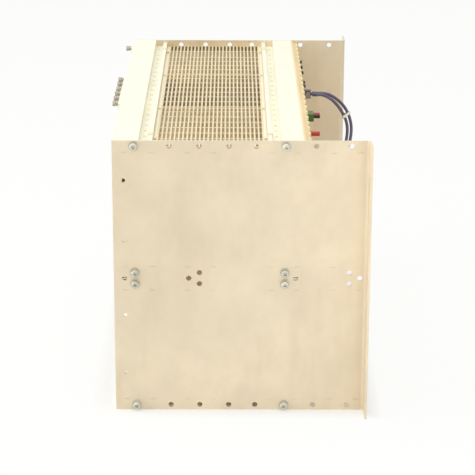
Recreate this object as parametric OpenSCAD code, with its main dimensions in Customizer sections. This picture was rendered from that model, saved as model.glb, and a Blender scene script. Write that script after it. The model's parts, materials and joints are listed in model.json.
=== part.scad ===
// Six-unit subrack card cage for 19-inch racks: two bays of plug-in boards on a 20.32 mm pitch.
// Width runs along X, depth along Y (boards go in from -Y), height along Z.

/* [Cage] */
// Overall width over the two rear mounting flanges
rack_w = 482.6; // [470:0.1:520]
// Clear width between the side plates
inner_w = 431.8; // [410:0.1:440]
// Height of the side plates
plate_h = 265.9; // [258:0.1:280]
// Depth of the side plates, front edge to the rear face of the flanges
plate_d = 238; // [228:1:300]
// Thickness of the side plate sheet
sheet_t = 2; // [1.5:0.1:3]
// Inside radius of the flange bend
bend_r = 3; // [1.5:0.5:5]
// Width of the rack slots in the flanges
rack_slot_w = 6.8; // [6:0.1:8]
// Length of the rack slots
rack_slot_l = 10.3; // [9:0.1:12]
// Distance between the slot centres across the rack
rack_slot_span = 465.1; // [464:0.1:466]
// Distance between the slot centres up the rack
rack_slot_rise = 190.5; // [150:0.5:220]

/* [Side Plate Holes] */
// Diameter of the spare rail holes
spare_hole_d = 5; // [3:0.1:6]
// Diameter of the holes along the middle line and the front edge
small_hole_d = 4; // [2.5:0.1:5]
// Length of a stamped locating mark
mark_l = 5; // [3:0.5:7]
// Width of a stamped locating mark
mark_w = 1; // [0.6:0.1:1.5]
// Depth of a stamped locating mark
mark_deep = 0.4; // [0.2:0.1:0.8]

/* [Rails] */
// Depth of a rail section, flush face to bay side
rail_h = 10.25; // [9.5:0.05:12]
// Distance from a flush face to the screw axis
screw_in = 5.075; // [4.5:0.025:5.5]
// Gap between the two rails at mid-height
mid_gap = 0.8; // [0.4:0.1:2]
// Reach of a front rail outwards from its screw axis
front_reach = 20; // [18:0.5:24]
// Reach of a rear rail outwards from its screw axis
rear_reach = 16.2; // [14:0.1:20]
// Distance between the front and the rear screw axes
rail_pitch = 140; // [130:1:150]
// Width of the box section inwards of the screw axis
box_in = 4.2; // [4:0.1:6]
// Width of the guide channel
channel_w = 8.4; // [8:0.1:10]
// Depth of the guide channel's floor below the flush face
channel_drop = 7; // [6.6:0.1:7.4]
// Thickness of the channel floor
floor_t = 2; // [1.9:0.1:2.4]
// Width of the inner lip
lip_w = 4; // [3:0.1:5]
// Drop of the lip's top below the flush face
lip_drop = 2.5; // [2:0.1:4]
// Width of the ledge that carries a cover
ledge_w = 3.6; // [2.5:0.1:5]
// Wall of the hollow section
rail_wall = 1.5; // [1:0.1:1.8]

/* [Threaded Strips] */
// Thickness of a threaded strip
strip_t = 3.5; // [2.5:0.1:4]
// Height of a threaded strip
strip_h = 6; // [5:0.1:6.6]
// Height of the mouth in front of a strip
mouth_h = 3.4; // [3:0.1:4]
// Thread core diameter in the strips
strip_bore_d = 2.6; // [2.5:0.05:2.8]
// Clearance round a strip in its channel
strip_clear = 0.1; // [0.05:0.05:0.2]

/* [Covers] */
// Drop of a cover's outer face below the flush face
cover_drop = 6.3; // [5.5:0.1:6.8]
// Thickness of a cover sheet
cover_t = 1; // [0.8:0.1:1.4]
// Clearance round a cover
cover_clear = 0.2; // [0.1:0.05:0.5]
// Pitch of the ribs between the vent rows
rib_pitch = 3.94; // [3.4:0.01:6]
// Width of a rib
rib_w = 1.6; // [1:0.1:2]
// Pitch of the vent slots along a row
vent_pitch = 143; // [15:1:220]
// Length of the bridge between two vent slots
bridge_l = 2; // [2:0.5:6]
// Distance from the middle of the cage to a cover clip
clip_x = 184; // [100:1:200]
// Length of a cover clip along the rail
clip_l = 7; // [4:0.5:12]
// Thickness of the clip strip
clip_t = 0.6; // [0.4:0.1:0.8]
// Reach of a clip's foot over the cover
clip_foot = 2.6; // [1.5:0.1:4]

/* [Boards And Slots] */
// Width of one horizontal pitch unit
hp = 5.08; // [5:0.01:5.2]
// Number of pitch units across the cage
hp_count = 84; // [42:1:84]
// Height of a bay less the height of a board
board_less = 32.55; // [30:0.05:36]
// Depth of a board
board_d = 160; // [150:1:162]
// Thickness of a board
board_t = 1.6; // [1:0.1:1.8]
// Distance from a panel's left edge to the middle of its board
board_in = 4.07; // [3.6:0.01:4.6]
// Setback of a board's front edge behind the panel
board_back = 3.5; // [2:0.1:6]

/* [Card Guides] */
// Width of a card guide
guide_w = 4.8; // [4:0.1:6]
// Width of the groove in a guide
groove_w = 2; // [1.9:0.1:2.4]
// Depth of board edge held in a guide's groove
groove_deep = 2.5; // [2:0.1:3]
// Clearance between a board's edge and the groove's bottom
edge_clear = 0.3; // [0.1:0.1:0.6]
// Thickness of a guide behind its groove
guide_back = 2; // [1.2:0.1:3]
// Thickness of the web under a guide's groove
guide_web_t = 3.4; // [1:0.1:4]
// Length of a guide's foot
foot_l = 14; // [10:0.5:15]
// Length of the guide slots in the rails along X
guide_slot_l = 6; // [4:0.1:8]
// Width of the guide slots in the rails along Y
guide_slot_w = 2.4; // [2:0.1:3]
// Distance from a rail's screw axis to its guide slots
guide_slot_in = 8.2; // [7.8:0.1:8.6]
// Clearance between a guide and what holds it
guide_clear = 0.2; // [0.1:0.05:0.3]

/* [Front Panels] */
// Thickness of a module's front panel
panel_t = 2.5; // [2:0.1:3]
// Height of a bay less the height of a module's front panel
panel_less = 4.15; // [3:0.05:6]
// Gap left between neighbouring panels
panel_gap = 0.3; // [0.2:0.05:0.6]
// Distance from a panel's left edge to its screw, in pitch units
screw_hp = 1.5; // [1:0.5:2.5]
// Diameter of the hole for a captive screw
panel_hole_d = 3.4; // [3:0.1:3.6]

/* [Screws] */
// Diameter of the rail screws
m4_d = 4; // [3.5:0.1:4.4]
// Length of a rail screw under its head
m4_l = 14; // [10:1:20]
// Head diameter of a rail screw
m4_head_d = 7; // [6.5:0.1:8]
// Head height of a rail screw
m4_head_h = 4; // [3:0.1:5]
// Width of the hexagon socket in a rail screw
m4_socket = 3; // [2.5:0.1:4]
// Outer diameter of a rail screw's washer
washer_d = 9.4; // [8.5:0.1:10]
// Thickness of a rail screw's washer
washer_t = 0.8; // [0.5:0.1:1.2]
// Clearance of a rail screw in its holes, on the diameter
m4_clear = 0.2; // [0.1:0.1:0.5]
// Diameter of the panel and backplane screws
m2_d = 2.5; // [2:0.1:2.5]
// Diameter of a captive screw's neck
neck_d = 3.8; // [3.6:0.1:4.4]
// Length of a captive screw's neck
neck_l = 0.9; // [0.5:0.1:1.5]
// Diameter of a captive screw's collar
collar_d = 4.9; // [4.5:0.1:5.5]
// Length of a captive screw's collar
collar_l = 2.1; // [1:0.1:4]
// Diameter of a captive screw's knurled head
knurl_d = 5.4; // [5:0.1:6]
// Length of a captive screw's knurled head
knurl_l = 3.2; // [2:0.1:5]
// Head diameter of a backplane screw
pan_d = 5; // [4.4:0.1:5.6]
// Head height of a backplane screw
pan_h = 1.9; // [1.4:0.1:2.4]

/* [Backplanes] */
// Thickness of a backplane
backplane_t = 4; // [2.4:0.1:4.8]
// Height of a bay less the height of a backplane
backplane_less = 3.85; // [3:0.05:6]
// Thickness of the insulating strips on the rear rails
insul_t = 2; // [1:0.1:3]
// Depth of a slot connector
socket_d = 9.5; // [7:0.1:11]
// Width of a slot connector
socket_w = 8.4; // [7:0.1:9]
// Height of a slot connector's body
socket_h = 84; // [80:1:88]
// Thickness of a slot connector's end flange
socket_flange = 4; // [2:0.1:5]
// Wall of a module connector's shroud
shroud_t = 0.9; // [0.6:0.1:1.2]
// Clearance between a module connector and a slot connector
mate_clear = 0.3; // [0.2:0.05:0.6]
// Distance from the middle of a board to the middle of its connector
socket_off = 5.9; // [5.4:0.1:6.4]

/* [Wiring] */
// Diameter of a wire
wire_d = 3.2; // [2.4:0.1:3.4]
// Diameter of a wire's terminal ring
ring_d = 6.6; // [6:0.1:8]
// Thickness of a terminal ring
ring_t = 0.8; // [0.6:0.1:1.2]
// Distance from a backplane's rear face to the ring's screw
ring_out = 7.2; // [6.5:0.1:9]
// Thickness of the terminal tabs
tab_t = 1.2; // [1:0.1:2]
// Drop of the small capacitors below the backplane's top edge
cap_drop = 13; // [8:0.5:20]
// Diameter of the small capacitors
cap_d = 3.6; // [2:0.1:6]
// Length of the small capacitors
cap_l = 5.5; // [3:0.5:9]
// Drop of the terminal block below the backplane's top edge
block_drop = 15.5; // [8:0.5:20]
// Drop of the insulated terminal below the backplane's top edge
terminal_drop = 13.5; // [8:0.5:20]
// Width of the cable tie
tie_w = 2.6; // [2:0.1:4]

/* [Hidden] */
$fn = 32;
e = 0.01;

bay_h = (plate_h - mid_gap) / 2;              // height of a bay, over its rails
board_h = bay_h - board_less;
panel_h = bay_h - panel_less;
backplane_h = bay_h - backplane_less;
half_w = inner_w / 2;
half_h = plate_h / 2;
front_y = front_reach;                        // front screw axis
rear_y = front_y + rail_pitch;                // rear screw axis
screw_z = half_h - screw_in;                  // outer screw rows
mid_z = mid_gap / 2 + screw_in;               // middle screw rows
seat_drop = channel_drop + floor_t;           // flush face to the face the guides seat on
lip_in = box_in + channel_w;                  // lip's outer face, from the screw axis
lip_end = lip_in + lip_w;                     // lip's inner face
bay_z = (screw_z + mid_z) / 2;                // middle of the upper bay
insul_y = rear_y + rear_reach;                // outer face of the rear rails
backplane_y = insul_y + insul_t;              // front face of the backplanes
backplane_rear = backplane_y + backplane_t;
proud = panel_t + neck_l + collar_l + knurl_l; // reach of the captive screws in front of the cage
slot_hp = 4;                                   // pitch units to one slot
first_x = -hp_count * hp / 2;                  // left end of the pitch grid
end_hp = 2;                                    // left edge of the end module, in pitch units
guide_hp = concat([end_hp], [for (k = [2 : floor(hp_count / slot_hp) - 1]) k * slot_hp]);
module_hp = [for (h = guide_hp) if (h == end_hp || (h >= 32 && h <= 52)) h];
function slot_x(h) = first_x + h * hp;
function board_x(h) = slot_x(h) + board_in;
function screw_x(h) = slot_x(h) + screw_hp * hp;
back_screw_x = [for (k = [0 : floor(hp_count / slot_hp) - 1]) slot_x(k * slot_hp) + hp / 2];

// moves the drawing frame, which starts at the cage's front edge and mid-height, to the middle of the base
module place() translate([0, (proud - plate_d) / 2, half_h]) children();
module across_x(len) rotate([90, 0, 90]) linear_extrude(len, center = true) children();
module bolt_z() for (z = [-screw_z, -mid_z, mid_z, screw_z]) translate([0, 0, z]) children();
module bar_x(d, l) rotate([0, 90, 0]) cylinder(d = d, h = l, center = true);
module bar_y(d, l) rotate([-90, 0, 0]) cylinder(d = d, h = l);

// ---------- side plates ----------
// mark and hole places are given from the plate's middle line, half way between y = 0 and the last hole column
hole_mid = 120;
outer_hole_off = [-67.5, -40, -12.5, 12.5, 67.5, 100];
mid_hole_off = [-40, 100];
centre_hole_off = [-110, -50, 50, 110];
mark_off = [26.8, 51, 84.2, 109];
front_hole_z = [37, 95];

module plate_profile() {
    cx = half_w + sheet_t + bend_r;
    cy = plate_d - sheet_t - bend_r;
    translate([half_w, 0]) square([sheet_t, cy]);
    translate([cx, plate_d - sheet_t]) square([rack_w / 2 - cx, sheet_t]);
    intersection() {
        translate([cx, cy]) difference() {
            circle(r = bend_r + sheet_t, $fn = 64);
            circle(r = bend_r, $fn = 64);
        }
        translate([half_w, cy]) square([sheet_t + bend_r, sheet_t + bend_r]);
    }
}

module plate_hole(y, z, d) translate([half_w + sheet_t / 2, y, z]) bar_x(d, sheet_t + 2);

module side_plate() color([0.87, 0.82, 0.72]) difference() {
    linear_extrude(plate_h, center = true) plate_profile();
    for (z = [-screw_z, -mid_z, mid_z, screw_z], y = [front_y, rear_y]) plate_hole(y, z, m4_d + m4_clear);
    for (z = [-screw_z, screw_z], o = outer_hole_off) plate_hole(hole_mid + o, z, spare_hole_d);
    for (z = [-mid_z, mid_z], o = mid_hole_off) plate_hole(hole_mid + o, z, spare_hole_d);
    for (o = centre_hole_off) plate_hole(hole_mid + o, 0, spare_hole_d);
    for (z = front_hole_z, s = [-1, 1]) plate_hole(hole_mid + centre_hole_off[0], s * z, small_hole_d);
    for (z = [screw_z - 6, mid_z + 6], s = [-1, 1], o = mark_off, t = [-1, 1])
        translate([half_w + sheet_t - mark_deep, hole_mid + t * o - mark_l / 2, s * z - mark_w / 2])
            cube([mark_deep + 1, mark_l, mark_w]);
    for (s = [-1, 1]) translate([rack_slot_span / 2, plate_d - sheet_t - 1, s * rack_slot_rise / 2]) rack_slot();
}

module rack_slot() {
    off = (rack_slot_l - rack_slot_w) / 2;
    for (s = [-1, 1]) translate([s * off, 0, 0]) bar_y(rack_slot_w, sheet_t + 2);
    translate([-off, 0, -rack_slot_w / 2]) cube([2 * off, sheet_t + 2, rack_slot_w]);
}

// ---------- rails: profile in (inwards from the screw axis, down from the flush face) ----------
module rail_profile(reach) {
    strip_wall = rail_wall + 0.1;
    chamber = -reach + 2 * strip_wall + strip_t + 2 * strip_clear;
    boss = m4_d / 2 + rail_wall + 1;
    difference() {
        union() {
            translate([-reach, 0]) square([reach + box_in, rail_h]);
            translate([box_in - e, channel_drop]) square([channel_w + lip_w + e, floor_t]);
            translate([lip_in, lip_drop]) square([lip_w, seat_drop - lip_drop]);
            translate([lip_end - e, cover_drop + cover_t]) square([ledge_w + e, seat_drop - cover_drop - cover_t]);
        }
        translate([0, screw_in]) circle(d = m4_d + m4_clear);
        translate([-reach - 1, screw_in - mouth_h / 2]) square([strip_wall + 1 + e, mouth_h]);
        translate([-reach + strip_wall, screw_in - strip_h / 2 - strip_clear])
            square([strip_t + 2 * strip_clear, strip_h + 2 * strip_clear]);
        translate([chamber, rail_wall]) square([-boss - chamber, rail_h - 2 * rail_wall]);
    }
}

module rail(reach) color([0.98, 0.97, 0.88]) difference() {
    across_x(inner_w) rail_profile(reach);
    for (h = guide_hp) translate([board_x(h) - guide_slot_l / 2, guide_slot_in - guide_slot_w / 2, channel_drop - 1])
        cube([guide_slot_l, guide_slot_w, floor_t + 2]);
}

// turns a part made in profile axes (Y inwards, Z down from the flush face) to one of the eight rail places
module at_rail(rear, bay_up, z) translate([0, rear ? rear_y : front_y, z])
    mirror([0, rear ? 1 : 0, 0]) mirror([0, 0, bay_up ? 0 : 1]) children();
module at_top(rear) at_rail(rear, false, half_h) children();
module at_upper_mid(rear) at_rail(rear, true, mid_gap / 2) children();
module at_lower_mid(rear) at_rail(rear, false, -mid_gap / 2) children();
module at_bottom(rear) at_rail(rear, true, -half_h) children();

// ---------- threaded strips ----------
module threaded_strips(y, out) color("silver") bolt_z() difference() {
    translate([-half_w + 1, y, -strip_h / 2]) cube([inner_w - 2, strip_t, strip_h]);
    for (k = [0 : hp_count - 1]) translate([slot_x(k + 0.5), y - 1, 0]) bar_y(strip_bore_d, strip_t + 2);
}

// ---------- rail screws ----------
module rail_screws() color("dimgray") for (y = [front_y, rear_y]) translate([half_w + sheet_t, y, 0]) bolt_z()
    rotate([0, 90, 0]) difference() {
        union() {
            translate([0, 0, washer_t]) cylinder(d = m4_head_d, h = m4_head_h);
            translate([0, 0, washer_t - m4_l]) cylinder(d = m4_d, h = m4_l + e);
        }
        translate([0, 0, washer_t + m4_head_h / 2]) cylinder(d = m4_socket / cos(30), h = m4_head_h, $fn = 6);
    }

module rail_washers() color("lightgray") for (y = [front_y, rear_y]) translate([half_w + sheet_t, y, 0]) bolt_z()
    rotate([0, 90, 0]) difference() {
        cylinder(d = washer_d, h = washer_t);
        translate([0, 0, -1]) cylinder(d = m4_d + m4_clear, h = washer_t + 2);
    }

// ---------- covers ----------
module cover() {
    l = inner_w - 2 * cover_clear;
    y0 = front_y + lip_end + cover_clear;
    w = rear_y - lip_end - cover_clear - y0;
    rows = round(w / rib_pitch);
    pitch = w / rows;
    margin = bridge_l;
    cols = round((l - 2 * margin + bridge_l) / vent_pitch);
    step = (l - 2 * margin + bridge_l) / cols;
    color([0.86, 0.80, 0.68]) translate([0, y0, half_h - cover_drop - cover_t]) linear_extrude(cover_t) difference() {
        translate([-l / 2, 0]) square([l, w]);
        for (i = [0 : rows - 1], j = [0 : cols - 1])
            translate([-l / 2 + margin + j * step, i * pitch + rib_w / 2]) square([step - bridge_l, pitch - rib_w]);
    }
}

// a strip folded over a rail's lip, with a foot that holds the cover on its ledge
module cover_clip() color([0.95, 0.92, 0.80]) translate([0, 0, 0]) rotate([90, 0, 90])
    linear_extrude(clip_l, center = true) {
        top = lip_drop - clip_t;
        translate([lip_in - clip_t, top]) square([lip_w + 2 * clip_t, clip_t]);
        translate([lip_in - clip_t, top]) square([clip_t, 3]);
        translate([lip_end, top]) square([clip_t, cover_drop - top]);
        translate([lip_end, cover_drop - clip_t]) square([clip_foot, clip_t]);
    }
module cover_clips() for (rear = [false, true], s = [-1, 1]) translate([s * clip_x, 0, 0]) at_top(rear) cover_clip();

// ---------- card guides ----------
// heights are measured from the seat on the rails, towards the middle of the bay
guide_from = front_y + box_in + guide_clear;
guide_to = rear_y - box_in - guide_clear;
guide_h = (screw_z - mid_z) / 2 - (seat_drop - screw_in) - board_h / 2 + groove_deep;

module card_guide() {
    l = guide_to - guide_from;
    beam = groove_deep + edge_clear + guide_back;
    difference() {
        union() {
            translate([-guide_w / 2, guide_from, guide_h - beam]) cube([guide_w, l, beam]);
            for (y = [guide_from, guide_to - foot_l]) translate([-guide_w / 2, y, 0]) cube([guide_w, foot_l, guide_h]);
            translate([-guide_web_t / 2, guide_from + 1, 0]) cube([guide_web_t, l - 2, guide_h - beam + e]);
            for (y = [front_y + guide_slot_in, rear_y - guide_slot_in])
                translate([0, y, -floor_t / 2]) cube([guide_slot_l - 2 * guide_clear,
                    guide_slot_w - 2 * guide_clear, floor_t + 2 * e], center = true);
        }
        translate([-groove_w / 2, guide_from - 1, guide_h - groove_deep - edge_clear])
            cube([groove_w, l + 2, groove_deep + edge_clear + 1]);
    }
}
module guide_row(seat_z, up) color([0.33, 0.33, 0.31]) for (h = guide_hp)
    translate([board_x(h), 0, seat_z]) mirror([0, 0, up ? 0 : 1]) card_guide();

// ---------- backplanes ----------
module insulating_strips() color([0.93, 0.84, 0.66]) bolt_z() difference() {
    translate([-half_w + 0.5, insul_y, -screw_in + 0.2]) cube([inner_w - 1, insul_t, 2 * screw_in - 0.4]);
    for (x = back_screw_x) translate([x, insul_y - 1, 0]) bar_y(m2_d + 0.3, insul_t + 2);
}

module backplane() color([0.85, 0.72, 0.50]) difference() {
    translate([-half_w + 0.4, backplane_y, -backplane_h / 2]) cube([inner_w - 0.8, backplane_t, backplane_h]);
    for (x = back_screw_x, s = [-1, 1])
        translate([x, backplane_y - 1, s * (screw_z - mid_z) / 2]) bar_y(m2_d + 0.3, backplane_t + 2);
}

module backplane_screws() color("gold") for (x = back_screw_x, s = [-1, 1])
    translate([x, backplane_rear, s * (screw_z - mid_z) / 2]) {
        bar_y(pan_d, pan_h);
        mirror([0, 1, 0]) bar_y(m2_d, backplane_t + insul_t + rail_wall + strip_t);
    }

module slot_connectors() color([0.80, 0.78, 0.72]) for (h = guide_hp)
    translate([board_x(h) + socket_off, backplane_y, 0]) difference() {
        union() {
            translate([-socket_w / 2, -socket_d, -socket_h / 2]) cube([socket_w, socket_d, socket_h]);
            translate([-socket_w / 2, -socket_flange, -socket_h / 2 - 5]) cube([socket_w, socket_flange, socket_h + 10]);
        }
        for (s = [-1, 1]) translate([s * socket_w / 4 - 0.5, -socket_d - 1, -socket_h / 2 + 2])
            cube([1, 5, socket_h - 4]);
    }

// ---------- modules ----------
module front_panels() color([0.97, 0.96, 0.88]) for (h = module_hp) translate([slot_x(h), -panel_t, bay_z]) difference() {
    translate([panel_gap / 2, 0, -panel_h / 2]) cube([slot_hp * hp - panel_gap, panel_t, panel_h]);
    for (s = [-1, 1]) translate([screw_hp * hp, -1, s * (screw_z - mid_z) / 2]) bar_y(panel_hole_d, panel_t + 2);
}

module captive_screw() mirror([0, 1, 0]) difference() {
    union() {
        bar_y(neck_d, neck_l + e);
        translate([0, neck_l, 0]) bar_y(collar_d, collar_l + e);
        translate([0, neck_l + collar_l, 0]) bar_y(knurl_d, knurl_l);
        mirror([0, 1, 0]) bar_y(m2_d, panel_t + rail_wall + strip_t);
    }
    translate([-knurl_d, proud - panel_t - 0.8, -0.4]) cube([2 * knurl_d, 2, 0.8]);
}
module captive_screws() color([0.62, 0.60, 0.56]) for (h = module_hp, z = [mid_z, screw_z])
    translate([screw_x(h), -panel_t, z]) captive_screw();

module boards() color([0.24, 0.36, 0.22]) for (h = module_hp)
    translate([board_x(h) - board_t / 2, board_back, bay_z - board_h / 2]) cube([board_t, board_d, board_h]);

board_end = board_back + board_d;
module board_connectors() color([0.72, 0.70, 0.64]) for (h = module_hp)
    translate([board_x(h), 0, bay_z]) {
        face = backplane_y - socket_d - mate_clear;
        w = socket_w + 2 * (mate_clear + shroud_t);
        x0 = socket_off - w / 2;
        tall = socket_h + 2 * (mate_clear + shroud_t);
        translate([board_t / 2, board_end - 10, -tall / 2])
            cube([x0 + w - board_t / 2, face - board_end + 10, tall]);
        difference() {
            translate([x0, face - e, -tall / 2]) cube([w, socket_d - socket_flange + e, tall]);
            translate([x0 + shroud_t, face - 1, -tall / 2 + shroud_t])
                cube([w - 2 * shroud_t, socket_d + 2, tall - 2 * shroud_t]);
        }
    }

module board_holders() color("silver") for (h = module_hp, s = [-1, 1])
    translate([board_x(h) + board_t / 2, 0, bay_z + s * (board_h / 2 - 12)]) {
        translate([0, 0, -5]) cube([2, board_back + 8, 10]);
        translate([0, 0, -5]) cube([9, 2, 10]);
    }

module transformers() color([0.20, 0.17, 0.15]) for (i = [1, 5])
    translate([board_x(module_hp[i]) + board_t / 2, board_back + 22, bay_z + board_h / 2 - 32]) cube([13, 32, 26]);

module relays() color([0.30, 0.27, 0.20]) for (h = module_hp, k = [0 : 2])
    translate([board_x(h) + board_t / 2, board_back + 30 + k * 32, bay_z - board_h / 2 + 20]) cube([10, 20, 12]);

// ---------- rear side of the upper backplane ----------
cap_x = [-173, -146, -120, -75, -58];
block_x = 56;
terminal_x = 134;
plug_pitch = 7.5;
top_edge = bay_z + backplane_h / 2;             // top edge of the upper backplane
block_z = top_edge - block_drop;
module capacitors() color([0.22, 0.18, 0.17]) for (x = cap_x) 
    translate([x, backplane_rear, top_edge - cap_drop]) bar_y(cap_d, cap_l);
module terminal_block() color([0.36, 0.48, 0.20]) difference() {
    translate([block_x - plug_pitch, backplane_rear, block_z - 4.5]) cube([2 * plug_pitch, 9.3, 7.4]);
    for (s = [-1, 1]) {
        translate([block_x + s * plug_pitch / 2, backplane_rear + 5.3, block_z]) bar_y(4, 5);
        translate([block_x + s * plug_pitch / 2, backplane_rear + 3, block_z + 3.5]) cylinder(d = 3, h = 2);
    }
}
module terminal_plug(s) translate([block_x + s * plug_pitch / 2, backplane_rear + 5.5, block_z]) {
    bar_y(3.4, 4);
    translate([0, 4, 0]) bar_y(4, 6);
}
module insulated_terminal() color([0.80, 0.30, 0.20]) 
    translate([terminal_x, backplane_rear, top_edge - terminal_drop]) {
    bar_y(3.4, 3);
    translate([0, 3 - e, 0]) bar_y(4.6, 9);
}

// ---------- power wires between the two backplanes ----------
wire_x = -40;
wire_off = 3;                                  // from the middle of a tab to a wire's axis
barrel_from = 4.6;                             // from a ring's middle to its barrel
barrel_l = 4.8;
wire_gap = 0.2;                                // between a barrel and the end of its wire
module power_tab(z) color("gainsboro") translate([wire_x, backplane_rear, z]) difference() {
    union() {
        translate([-6, 0, -5]) cube([12, tab_t, 10]);
        translate([-tab_t / 2, 0, -5]) cube([tab_t, ring_out + ring_d / 2, 10]);
    }
    translate([0, ring_out, 0]) bar_x(3.2, tab_t + 2);
}

// ring and barrel; the barrel leaves the ring along Y, turned up about the ring's axis by turn
module ring_terminals(z, turn) color([0.35, 0.33, 0.38]) for (s = [-1, 1])
    translate([wire_x + s * (tab_t + ring_t) / 2, backplane_rear + ring_out, z]) rotate([turn, 0, 0]) {
        difference() {
            union() {
                bar_x(ring_d, ring_t);
                translate([-ring_t / 2, 0, -1.2]) cube([ring_t, 5, 2.4]);
            }
            bar_x(3.2, ring_t + 2);
        }
        translate([s * (wire_off - (tab_t + ring_t) / 2), barrel_from, 0]) bar_y(wire_d + 0.6, barrel_l);
    }

module terminal_screw(z) color("silver") translate([wire_x, backplane_rear + ring_out, z]) {
    side = tab_t / 2 + ring_t;
    bar_x(3, 2 * side + 5);
    translate([side + 1, 0, 0]) bar_x(5.5, 2);
    translate([-side - 1.2, 0, 0]) rotate([0, 90, 0]) cylinder(d = 5.5 / cos(30), h = 2.4, center = true, $fn = 6);
}

outer_route = [[-43, 199, 114], [-43, 205, 114], [-43, 211, 113], [-42.5, 217, 110], [-42, 223, 105.5],
    [-41.5, 228, 100], [-41, 232, 93], [-40.5, 234.6, 85.5], [-40, 235.8, 78], [-40, 235.6, 69.5], [-40, 234, 60],
    [-40, 231, 49.5], [-40, 226.5, 38.5], [-40.5, 220.5, 27.5], [-41, 213.5, 17], [-41.5, 206.5, 7.5],
    [-42, 200, -1.5], [-42.8, 193.8, -9], [-43, 189.9, -15.5], [-43, 189.4, -22]];
inner_route = [[-37, 199, 114], [-37, 204, 113.8], [-37, 209, 112], [-37.5, 214.5, 108.5], [-38, 219.5, 103.5],
    [-38.5, 224, 97.5], [-39, 228, 90.5], [-39.5, 230.6, 83.5], [-40, 231.6, 76.5], [-40, 231.4, 69], [-40, 230, 60.5],
    [-40, 227, 51], [-40, 222.5, 41], [-39.5, 216.5, 31], [-39, 209.5, 21], [-38.5, 202.5, 11], [-38, 196.5, 1],
    [-37, 192, -8], [-37, 189.8, -15.5], [-37, 189.4, -22]];

// the tabs sit where the wires' ends meet the barrels
upper_tab_z = outer_route[0][2];
lower_tab_z = outer_route[len(outer_route) - 1][2] - wire_gap - barrel_l - barrel_from;

function unit(v) = v / norm(v);
function clamp_i(i, n) = max(0, min(n - 1, i));
function heading(p, i) = unit(p[clamp_i(i + 1, len(p))] - p[clamp_i(i - 1, len(p))]);
// a smooth point on the route, u of the way from point i to point i + 1
function on_route(p, i, u) = let (n = len(p), a = p[clamp_i(i - 1, n)], b = p[i], c = p[clamp_i(i + 1, n)],
    d = p[clamp_i(i + 2, n)]) 0.5 * (2 * b + (c - a) * u + (2 * a - 5 * b + 4 * c - d) * u * u
    + (3 * b - a - 3 * c + d) * u * u * u);
module tube(route, d, sides = 8) {
    fine = concat([for (i = [0 : len(route) - 2], u = [0, 0.5]) on_route(route, i, u)], [route[len(route) - 1]]);
    rings = [for (i = [0 : len(fine) - 1]) let (t = heading(fine, i), a = unit(cross(t, [1, 0, 0])), b = cross(t, a))
        for (k = [0 : sides - 1]) fine[i] + (d / 2) * (cos(360 * k / sides) * a + sin(360 * k / sides) * b)];
    n = len(fine);
    sides_f = [for (i = [0 : n - 2], k = [0 : sides - 1]) let (m = (k + 1) % sides)
        [i * sides + k, i * sides + m, (i + 1) * sides + m, (i + 1) * sides + k]];
    ends_f = [[for (k = [sides - 1 : -1 : 0]) k], [for (k = [0 : sides - 1]) (n - 1) * sides + k]];
    polyhedron(rings, concat(sides_f, ends_f), convexity = 4);
}

tie_at = 6;
module cable_tie() color([0.96, 0.94, 0.86]) {
    a = outer_route[tie_at];
    b = inner_route[tie_at];
    mid = (a + b) / 2;
    long = unit(a - b);
    wide = unit(cross(long, heading(outer_route, tie_at)));
    along = cross(wide, long);
    r = wire_d / 2 + 0.4;
    multmatrix([for (i = [0 : 2]) [wide[i], long[i], along[i], mid[i]]])
        linear_extrude(tie_w, center = true) difference() {
            union() {
                tie_outline(norm(a - b), r + 0.9);
                translate([r, -2]) square([2.6, 4]);
            }
            tie_outline(norm(a - b), r);
        }
}
module tie_outline(gap, r) {
    for (s = [-1, 1]) translate([0, s * gap / 2]) circle(r = r);
    square([2 * r, gap], center = true);
}

place() side_plate();  // side_plate_right
place() mirror([1, 0, 0]) side_plate();  // side_plate_left
place() at_top(false) rail(front_reach);  // front_rail_top
place() at_upper_mid(false) rail(front_reach);  // front_rail_upper_mid
place() at_lower_mid(false) rail(front_reach);  // front_rail_lower_mid
place() at_bottom(false) rail(front_reach);  // front_rail_bottom
place() at_top(true) rail(rear_reach);  // rear_rail_top
place() at_upper_mid(true) rail(rear_reach);  // rear_rail_upper_mid
place() at_lower_mid(true) rail(rear_reach);  // rear_rail_lower_mid
place() at_bottom(true) rail(rear_reach);  // rear_rail_bottom
place()  // front_threaded_strips
    threaded_strips(rail_wall + 0.1 + strip_clear);
place()  // rear_threaded_strips
    threaded_strips(insul_y - rail_wall - 0.1 - strip_clear - strip_t);
place() rail_screws();  // rail_screws_right
place() mirror([1, 0, 0]) rail_screws();  // rail_screws_left
place() rail_washers();  // rail_washers_right
place() mirror([1, 0, 0]) rail_washers();  // rail_washers_left
place() cover();  // top_cover
place() mirror([0, 0, 1]) cover();  // bottom_cover
place() cover_clips();  // top_cover_clips
place() mirror([0, 0, 1]) cover_clips();  // bottom_cover_clips
place() guide_row(half_h - seat_drop, false);  // upper_bay_top_guides
place() guide_row(mid_gap / 2 + seat_drop, true);  // upper_bay_bottom_guides
place() guide_row(-mid_gap / 2 - seat_drop, false);  // lower_bay_top_guides
place() guide_row(-half_h + seat_drop, true);  // lower_bay_bottom_guides
place() insulating_strips();
place() translate([0, 0, bay_z]) backplane();  // upper_backplane
place() translate([0, 0, -bay_z]) backplane();  // lower_backplane
place() translate([0, 0, bay_z]) backplane_screws();  // upper_backplane_screws
place() translate([0, 0, -bay_z]) backplane_screws();  // lower_backplane_screws
place() translate([0, 0, bay_z]) slot_connectors();  // upper_slot_connectors
place() translate([0, 0, -bay_z]) slot_connectors();  // lower_slot_connectors
place() front_panels();  // module_front_panels
place() captive_screws();
place() boards();  // module_boards
place() board_connectors();  // module_connectors
place() board_holders();  // module_board_holders
place() transformers();  // module_transformers
place() relays();  // module_relays
place() capacitors();  // filter_capacitors
place() terminal_block();
place() color([0.80, 0.28, 0.20]) terminal_plug(-1);  // terminal_plug_red
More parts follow.
